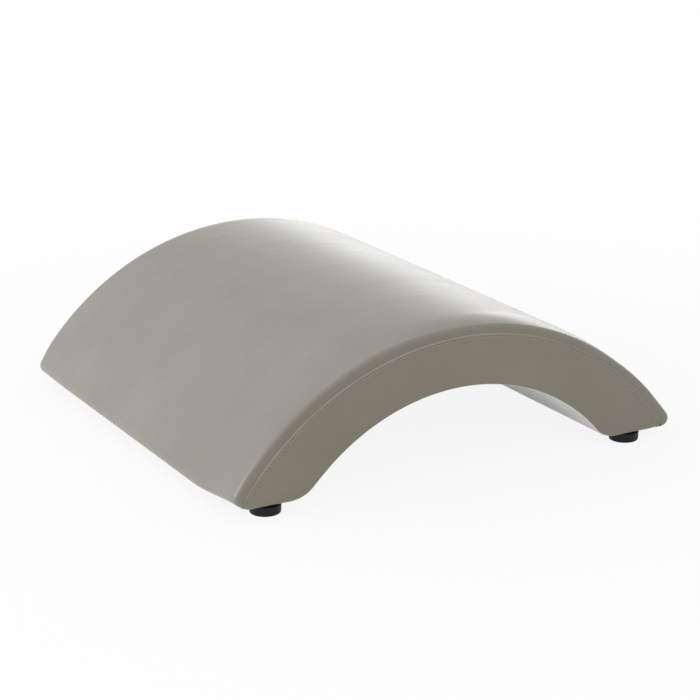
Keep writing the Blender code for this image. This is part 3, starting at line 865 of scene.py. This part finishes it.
def buildLining():
    across = round(2 * (endFace - endCover["tunnelEdge"]) / lining["rowWidth"])
    rim = [("rim", behind, tuck) for behind, tuck in lining["rim"]]
    middle = [("span", share, 0.0, 0) for share in spread(0, 1, across)]
    rows = [(*row, -1) for row in rim] + middle + [(*row, 1) for row in rim[::-1]]

    def place(share, row):
        edge, facing = innerAt(share)
        rounding = edgeRounding(share)
        kind, value, tuck, side = row
        if kind == "rim":
            return edge - facing * tuck + Vector((0, side * (endFace - rounding - value), 0))
        reach = endFace - rounding - lining["rimWidth"]
        y = -reach + 2 * reach * value
        calm = blendStep(0, lining["calmEnd"], reach - abs(y))
        calm *= blendStep(0, lining["calmLow"], min(share, 1 - share))
        wave = lining["slack"] * waveAt(share, y, lining["waves"])
        return edge + facing * wave * calm + Vector((0, y, 0))

    mesh = bmesh.new()
    gridSheet(mesh, spread(0, 1, round(edgeLength / lining["columnWidth"])), rows, place)
    reach = endFace - endCover["legEdge"] - lining["rimWidth"]
    addHems(mesh, lining, filletX, 1, spread(-reach, reach, across))
    closeAndTurnOut(mesh, lining["thickness"])
    piece = pieceFrom(mesh, "tunnelLining", liningVinyl, 60)
    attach(piece, "root")
    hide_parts("cover_soffit")


buildLining()
print("lining fitted")

# Topstitching

stitching = {
    "depth": 0.0185,
    "height": 0.00012,
    "raised": 0.2,  # share of the thickness by which a stitch stands further out
    "pitch": 0.0050,
    "length": 0.0042,
    "thickness": 0.00085,
    "slant": 0.10,  # turn of each stitch from the row, in radians
}


def buildStitches(name, side):
    mesh = bmesh.new()
    radius = outerRadius - stitching["depth"]
    turnEnd = math.acos((legBottom + roll - outerCentre) / radius)
    count = int(2 * turnEnd * radius / stitching["pitch"])
    height = endFace + stitching["height"] + stitching["thickness"] * stitching["raised"]
    thick = stitching["thickness"] / 2
    size = Matrix.Diagonal((stitching["length"] / 2, thick, thick, 1))
    slant = Matrix.Rotation(stitching["slant"], 4, "Z")
    for index in range(count):
        turn = -turnEnd + 2 * turnEnd * (index + 0.5) / count
        facing = facingAt(turn)
        along = Vector((math.cos(turn), 0, -math.sin(turn)))
        middle = Vector((0, 0, outerCentre)) + radius * facing + Vector((0, side, 0)) * height
        lie = Matrix((along, facing, along.cross(facing))).transposed().to_4x4()
        place = Matrix.Translation(middle) @ lie @ slant @ size
        bmesh.ops.create_uvsphere(mesh, u_segments=8, v_segments=6, radius=1.0, matrix=place)
    turnOut(mesh)
    row = pieceFrom(mesh, name, thread, 80)
    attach(row, "root")


buildStitches("stitchesFront", -1)
buildStitches("stitchesRear", 1)
print("stitching done")

# Foam

foamPad = {
    "under": 0.0032,  # outer curve to the foam
    "thickness": 0.0230,
    "roundRows": 6,
    "levels": (0.4, 0.7, 1.0),  # further rows down the ends
    "cornerColumns": 8,
    "columns": 110,
    "endThickness": 0.0050,
    "endDepth": 0.0268,  # outer curve to an end facing
    "endInset": 0.0062,  # tunnel's edge to an end facing
    "endLift": 0.004,
    "endColumns": 120,
    "endRows": 10,
}


def closeFoam(mesh, name, node):
    bmesh.ops.remove_doubles(mesh, verts=mesh.verts, dist=mergeDistance)
    bmesh.ops.holes_fill(mesh, edges=[edge for edge in mesh.edges if edge.is_boundary], sides=0)
    turnOut(mesh)
    pad = pieceFrom(mesh, name, foam, 30)
    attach(pad, "root")
    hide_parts(node)


def buildFoam():
    # the bent sheet between the deck and the cover, inside the cover's rounded lower corners
    under, half = foamPad["under"], endFace - foamPad["under"]
    innerRadius = outerRadius - under - foamPad["thickness"]
    turnEnd = math.acos((legBottom + under - outerCentre) / innerRadius)
    soft = softEdge - under
    section = []
    for angle in spread(0, math.pi / 2, foamPad["roundRows"]):
        section.append((0.0, soft * (1 - math.cos(angle)), half - soft * (1 - math.sin(angle))))
    section += [(level, 0.0, half) for level in foamPad["levels"]]
    ring = section + [(level, drop, -y) for level, drop, y in section[::-1]]
    ring.append(ring[0])

    def place(turn, corner):
        level, drop, y = corner
        inner = onCircle(innerRadius, max(min(turn, turnEnd), -turnEnd))
        point, facing = outlineAt(turn)
        outside = point - facing * (under + dipAt(point, y))
        along = (inner - outside).normalized()
        return (outside + along * drop).lerp(inner, level) + Vector((0, y, 0))

    left = spread(-math.pi, -turnEnd, foamPad["cornerColumns"])
    turns = left[:-1] + spread(-turnEnd, turnEnd, foamPad["columns"])
    turns += [-turn for turn in left[::-1]][1:]
    mesh = bmesh.new()
    gridSheet(mesh, turns, ring, place)
    closeFoam(mesh, "archFoam", "foam_top")


def buildEndFoam(name, node, side):
    # the facing behind an end panel, cut like the panel
    low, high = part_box(node)
    back = min(abs(low.y), abs(high.y))
    front = back + foamPad["endThickness"]
    radius = outerRadius - foamPad["endDepth"]
    turn = math.acos((low.z + foamPad["endLift"] - outerCentre) / radius)
    ring = [(level, front) for level in spread(0, 1, foamPad["endRows"])]
    ring += [(level, back) for level in spread(1, 0, foamPad["endRows"])]
    ring.append(ring[0])

    def place(share, corner):
        edge, facing = innerAt(share)
        inner = edge - facing * foamPad["endInset"]
        level, y = corner
        outer = onCircle(radius, -turn + 2 * turn * share)
        return outer.lerp(inner, level) + Vector((0, side * y, 0))

    mesh = bmesh.new()
    gridSheet(mesh, spread(0, 1, foamPad["endColumns"]), ring, place)
    closeFoam(mesh, name, node)


buildFoam()
buildEndFoam("frontFoam", "foam_end_front", -1)
buildEndFoam("rearFoam", "foam_end_rear", 1)
print("foam cut")

# Cloth under the legs

underCloth = {
    "thickness": 0.0005,
    "fold": 0.008,  # turned-in edge
    "foldStep": (0.002, 0.001),  # before and past the fold's edge, where it steps up
    "foldDrop": 0.00035,
    "lift": 0.00012,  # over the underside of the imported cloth
    "sag": 0.0005,
    "sagReach": 0.01,  # from the edge to the full sag
    "waves": (40, 22, 3.1),
    "waveReach": (0.006, 0.02),
    "rimTurn": 0.0006,  # the outermost edge turns up
    "rimWidth": 0.0012,
    "edgeRows": (0, 0.0005, 0.0012, 0.003, 0.0055, 0.0065, 0.0080, 0.0092),
    "gridFrom": 0.013,
    "grid": 0.006,
}


def clothBox(node):
    # underside, middle and half sizes of a packed cloth
    low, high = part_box(node)
    return low.z, (low + high) / 2, (high.x - low.x) / 2, (high.y - low.y) / 2


def clothSteps(half):
    # steps from edge to edge, closer over the folded edges
    inner = half - underCloth["gridFrom"]
    steps = [-half + edge for edge in underCloth["edgeRows"]]
    steps += spread(-inner, inner, round(2 * inner / underCloth["grid"]))
    return steps + [half - edge for edge in underCloth["edgeRows"][::-1]]


def buildUnderCloth(name, node, side):
    bottom, middle, halfWidth, halfLength = clothBox(node)
    before, past = underCloth["foldStep"]
    acrossWaves, alongWaves, seed = underCloth["waves"]

    def place(across, along):
        inward = min(halfWidth - abs(across), halfLength - abs(along))
        folded = 1 - blendStep(underCloth["fold"] - before, underCloth["fold"] + past, inward)
        ripple = 0.5 + 0.5 * math.cos(2 * math.pi * along / stapling["spacing"])
        loose = blendStep(*underCloth["waveReach"], inward)
        loose *= waveAt(across, along, (acrossWaves, alongWaves, side * seed))
        drop = underCloth["foldDrop"] * folded * (0.7 + 0.3 * ripple)
        sag = underCloth["sag"] * 0.5 * (loose - 0.6) * blendStep(0, underCloth["sagReach"], inward)
        turnIn = underCloth["rimTurn"] * (1 - blendStep(0, underCloth["rimWidth"], inward))
        z = bottom + underCloth["lift"] - drop + sag + turnIn
        return Vector((middle.x + across, middle.y + along, z))

    mesh = bmesh.new()
    gridSheet(mesh, clothSteps(halfWidth), clothSteps(halfLength), place)
    turnOut(mesh)
    mesh.normal_update()
    if sum(face.normal.z for face in mesh.faces) > 0:
        bmesh.ops.reverse_faces(mesh, faces=mesh.faces)
    bmesh.ops.solidify(mesh, geom=mesh.faces, thickness=underCloth["thickness"])
    cloth = pieceFrom(mesh, name, baseCloth, 50)
    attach(cloth, "root")
    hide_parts(node)


stapling = {
    "spacing": 0.034,
    "inset": 0.0045,  # edge of the cloth to the row of staples
    "fromEnd": 0.016,  # end of the cloth to the first staple of a long row
    "short": (-0.008, 0.010),  # places of the two staples of a short row
    "drop": 0.00035,
    "length": 0.010,
    "wire": 0.0011,
    "flat": 0.6,
    "bevel": 0.00022,
    "wobble": 0.12,  # most that a staple is turned from its row, in radians
}


def buildStaples(name, node):
    # a row of staple crowns round the edge of the cloth, along the edge and a little uneven
    bottom, middle, halfWidth, halfLength = clothBox(node)
    inset, reach = stapling["inset"], halfLength - stapling["fromEnd"]
    rows = []
    for across in (-halfWidth + inset, halfWidth - inset):
        for along in spread(-reach, reach, round(2 * halfLength / stapling["spacing"])):
            rows.append((across, along, math.pi / 2))
    for along in (-halfLength + inset, halfLength - inset):
        rows += [(across, along, 0.0) for across in stapling["short"]]
    mesh = bmesh.new()
    wire = stapling["wire"] / 2
    lying = Matrix.Rotation(math.pi / 2, 4, "Y")
    flat = Matrix.Diagonal((stapling["flat"], 1, 1, 1))
    for index, (across, along, turn) in enumerate(rows):
        wobble = stapling["wobble"] * noise.noise(Vector((index * 1.7, halfWidth, 4.4)))
        spot = Vector((middle.x + across, middle.y + along, bottom - stapling["drop"]))
        place = Matrix.Translation(spot) @ Matrix.Rotation(turn + wobble, 4, "Z") @ lying
        made = bmesh.ops.create_cone(
            mesh, cap_ends=True, segments=8, radius1=wire, radius2=wire, depth=stapling["length"],
            matrix=place @ flat,
        )
        caps = {face for vert in made["verts"] for face in vert.link_faces if len(face.verts) == 8}
        rims = list({edge for face in caps for edge in face.edges})
        bmesh.ops.bevel(
            mesh, geom=rims, offset=stapling["bevel"], offset_type="OFFSET", segments=2, profile=0.5,
            affect="EDGES", clamp_overlap=True, material=-1,
        )
    turnOut(mesh)
    piece = pieceFrom(mesh, name, steel, 40)
    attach(piece, "root")


for sideName, side in (("left", -1), ("right", 1)):
    buildUnderCloth("underCloth" + sideName.title(), "base_cloth_" + sideName, side)
    buildStaples("staples" + sideName.title(), "base_cloth_" + sideName)
print("cloth stapled under the legs")

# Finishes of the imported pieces, by the first word of their names

finishes = {
    "rib": flatPlywood, "deck": deckPlywood, "soffit": soffitPlywood, "rail": timber, "sill": timber,
    "screw": brass, "insert": brass, "washer": steel, "bolt": steel, "foot": rubber, "base": baseCloth,
}
for name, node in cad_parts.items():
    finish = finishes.get(name.split("_")[0])
    if finish:
        node.data.materials.clear()
        node.data.materials.append(finish)
print("packed pieces finished")

# Floor, light and camera

studio = {
    "floorSize": 14.0,
    "floorPaint": (0.9, 0.9, 0.9, 1),
    "floorReach": (0.45, 1.30),  # near the arc and further out
    "floorOwnLight": (0.88, 1.0),  # share of its own light there
    "worldForSurfaces": 0.73,
    "leftSoftbox": {"power": 42.0, "size": (1.8, 1.8), "place": (-2.7, 0.2, 1.0)},
    "backSoftbox": {"power": 25.0, "size": (3.0, 0.9), "place": (2.6, 3.6, 0.5)},
    "lightTarget": (0, 0, 0.1),
    "cameraPlace": (-1.27606, -2.30411, 0.90406),
    "cameraTurn": -29.258,  # degrees round the arc from straight in front
    "cameraRise": 17.341,  # degrees above the floor
    "lens": 105.76,
    "sensor": 36.0,
}


def seenRays(tree):
    # 1 for the rays that show a thing to the camera, straight, mirrored or through glass
    path = addNode(tree, "LightPath").outputs
    seen = mathOf(tree, "MAXIMUM", path["Is Camera Ray"], path["Is Glossy Ray"])
    return mathOf(tree, "MAXIMUM", seen, path["Is Transmission Ray"])


def makeFloor():
    mesh = bmesh.new()
    bmesh.ops.create_grid(mesh, x_segments=2, y_segments=2, size=studio["floorSize"] / 2)
    floor = objectFrom(mesh, "studioFloor")
    material = bpy.data.materials.new("paleFloor")
    material.use_nodes = True
    tree = material.node_tree
    tree.nodes.clear()
    paint = addNode(tree, "BsdfDiffuse", {"Color": studio["floorPaint"]})
    ownLight = addNode(tree, "Emission", {"Color": (1, 1, 1, 1), "Strength": 1.0})
    away = addNode(tree, "VectorMath", {0: objectPlace(tree)}, operation="LENGTH").outputs["Value"]
    own = rangeOf(tree, away, *studio["floorReach"], *studio["floorOwnLight"])
    share = mathOf(tree, "MULTIPLY", seenRays(tree), own)
    mix = addNode(tree, "MixShader", {0: share, 1: paint.outputs[0], 2: ownLight.outputs[0]})
    addNode(tree, "OutputMaterial", {"Surface": mix.outputs[0]})
    floor.data.materials.append(material)


def makeWorld():
    world = bpy.data.worlds.new("studio")
    bpy.context.scene.world = world
    world.use_nodes = True
    tree = world.node_tree
    strength = rangeOf(tree, seenRays(tree), 0, 1, studio["worldForSurfaces"], 1.0)
    setInputs(tree, tree.nodes["Background"], {"Color": (1, 1, 1, 1), "Strength": strength})


def makeLight(name):
    softbox = studio[name]
    data = bpy.data.lights.new(name, "AREA")
    data.shape = "RECTANGLE"
    data.size, data.size_y = softbox["size"]
    data.energy = softbox["power"]
    light = linkedObject(name, data)
    light.location = softbox["place"]
    towards = Vector(studio["lightTarget"]) - Vector(softbox["place"])
    light.rotation_euler = towards.to_track_quat("-Z", "Y").to_euler()


def makeCamera():
    data = bpy.data.cameras.new("photoView")
    data.lens = studio["lens"]
    data.sensor_width = studio["sensor"]
    camera = linkedObject("photoView", data)
    turn, rise = math.radians(studio["cameraTurn"]), math.radians(studio["cameraRise"])
    back = Vector((math.sin(turn) * math.cos(rise), -math.cos(turn) * math.cos(rise), math.sin(rise)))
    camera.location = studio["cameraPlace"]
    camera.rotation_euler = (-back).to_track_quat("-Z", "Y").to_euler()
    bpy.context.scene.camera = camera


makeFloor()
makeWorld()
makeLight("leftSoftbox")
makeLight("backSoftbox")
makeCamera()
bpy.context.scene.view_settings.view_transform = "Standard"
print("studio set")
